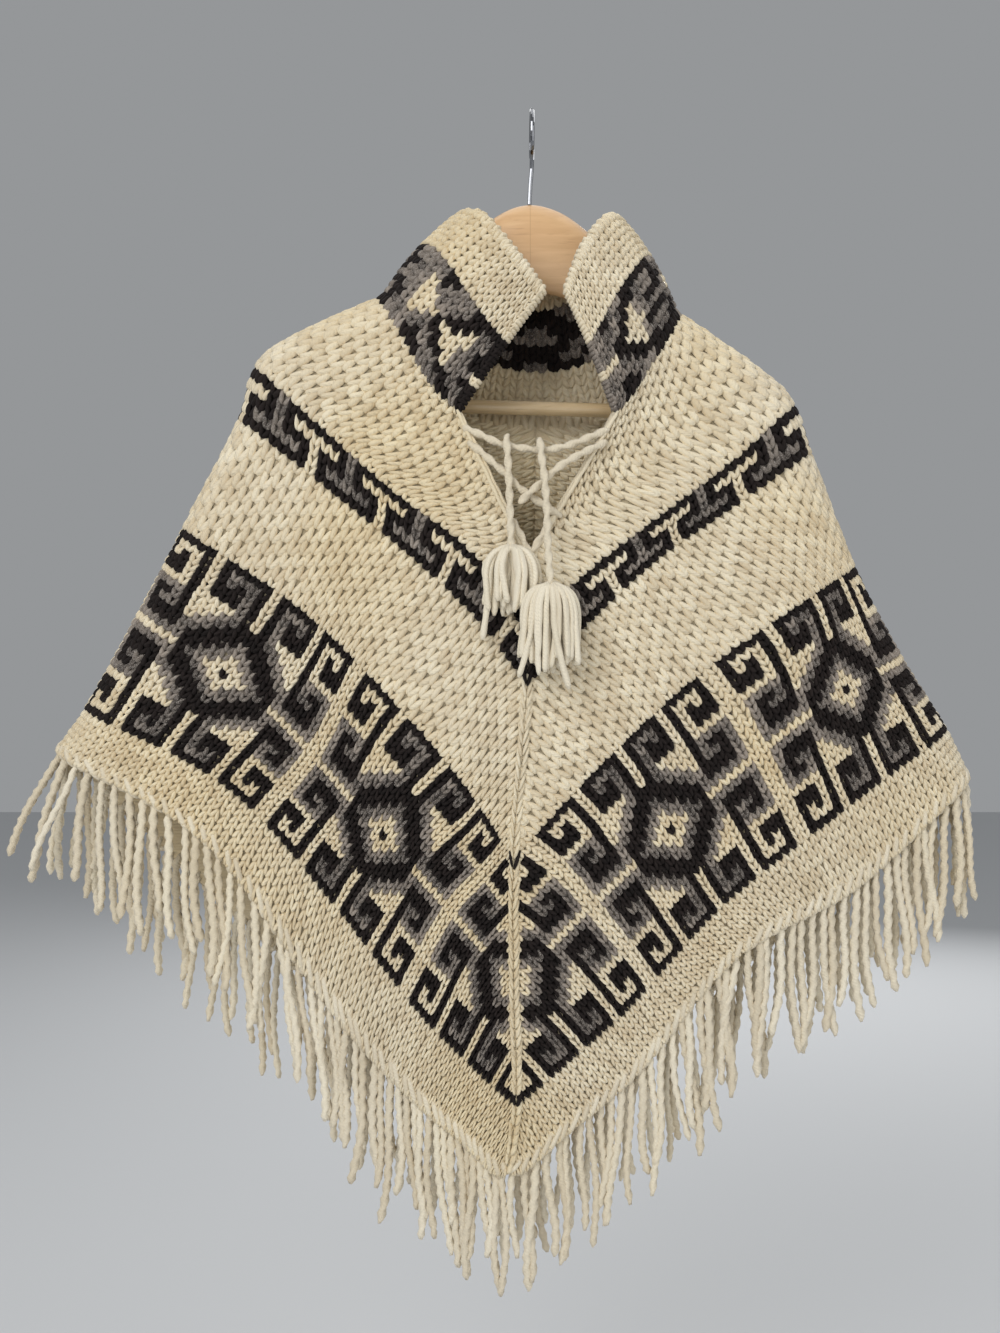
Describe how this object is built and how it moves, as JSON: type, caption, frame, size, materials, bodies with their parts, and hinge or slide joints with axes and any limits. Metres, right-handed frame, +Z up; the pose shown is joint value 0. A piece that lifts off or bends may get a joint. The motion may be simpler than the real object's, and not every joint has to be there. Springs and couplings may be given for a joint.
{
  "type": "knitted poncho on a clothes hanger",
  "caption": "Hand-knitted wool poncho with a stand collar, tasselled lace and fringed hem, hanging on a wooden clothes hanger.",
  "frame": {"origin": "inside top of the hanger's hook, where the hook rests on what carries it", "axes": "+Z up, +X towards the garment's shoulder that is on the viewer's right, +Y from the front of the garment to its back"},
  "size_m": [0.8079, 0.1161, 1.0042],
  "materials": {
    "cream_wool": "matt, slightly hairy woollen knit",
    "beech": "clear satin lacquer",
    "hook_wire": "bright plated wire"
  },
  "bodies": {
    "root": {"panel_left": "cream_wool", "panel_right": "cream_wool", "collar": "cream_wool", "fringe_left_back": "cream_wool", "fringe_left_front": "cream_wool", "fringe_right_back": "cream_wool", "fringe_right_front": "cream_wool", "lace_end_left": "cream_wool", "lace_end_right": "cream_wool", "lace_falling": "cream_wool", "lace_foot": "cream_wool", "lace_rising": "cream_wool", "lace_top": "cream_wool", "tassel_left": "cream_wool", "tassel_right": "cream_wool", "hanger_body": "beech", "hanger_bar": "beech", "hanger_hook": "hook_wire"}
  },
  "joints": []
}
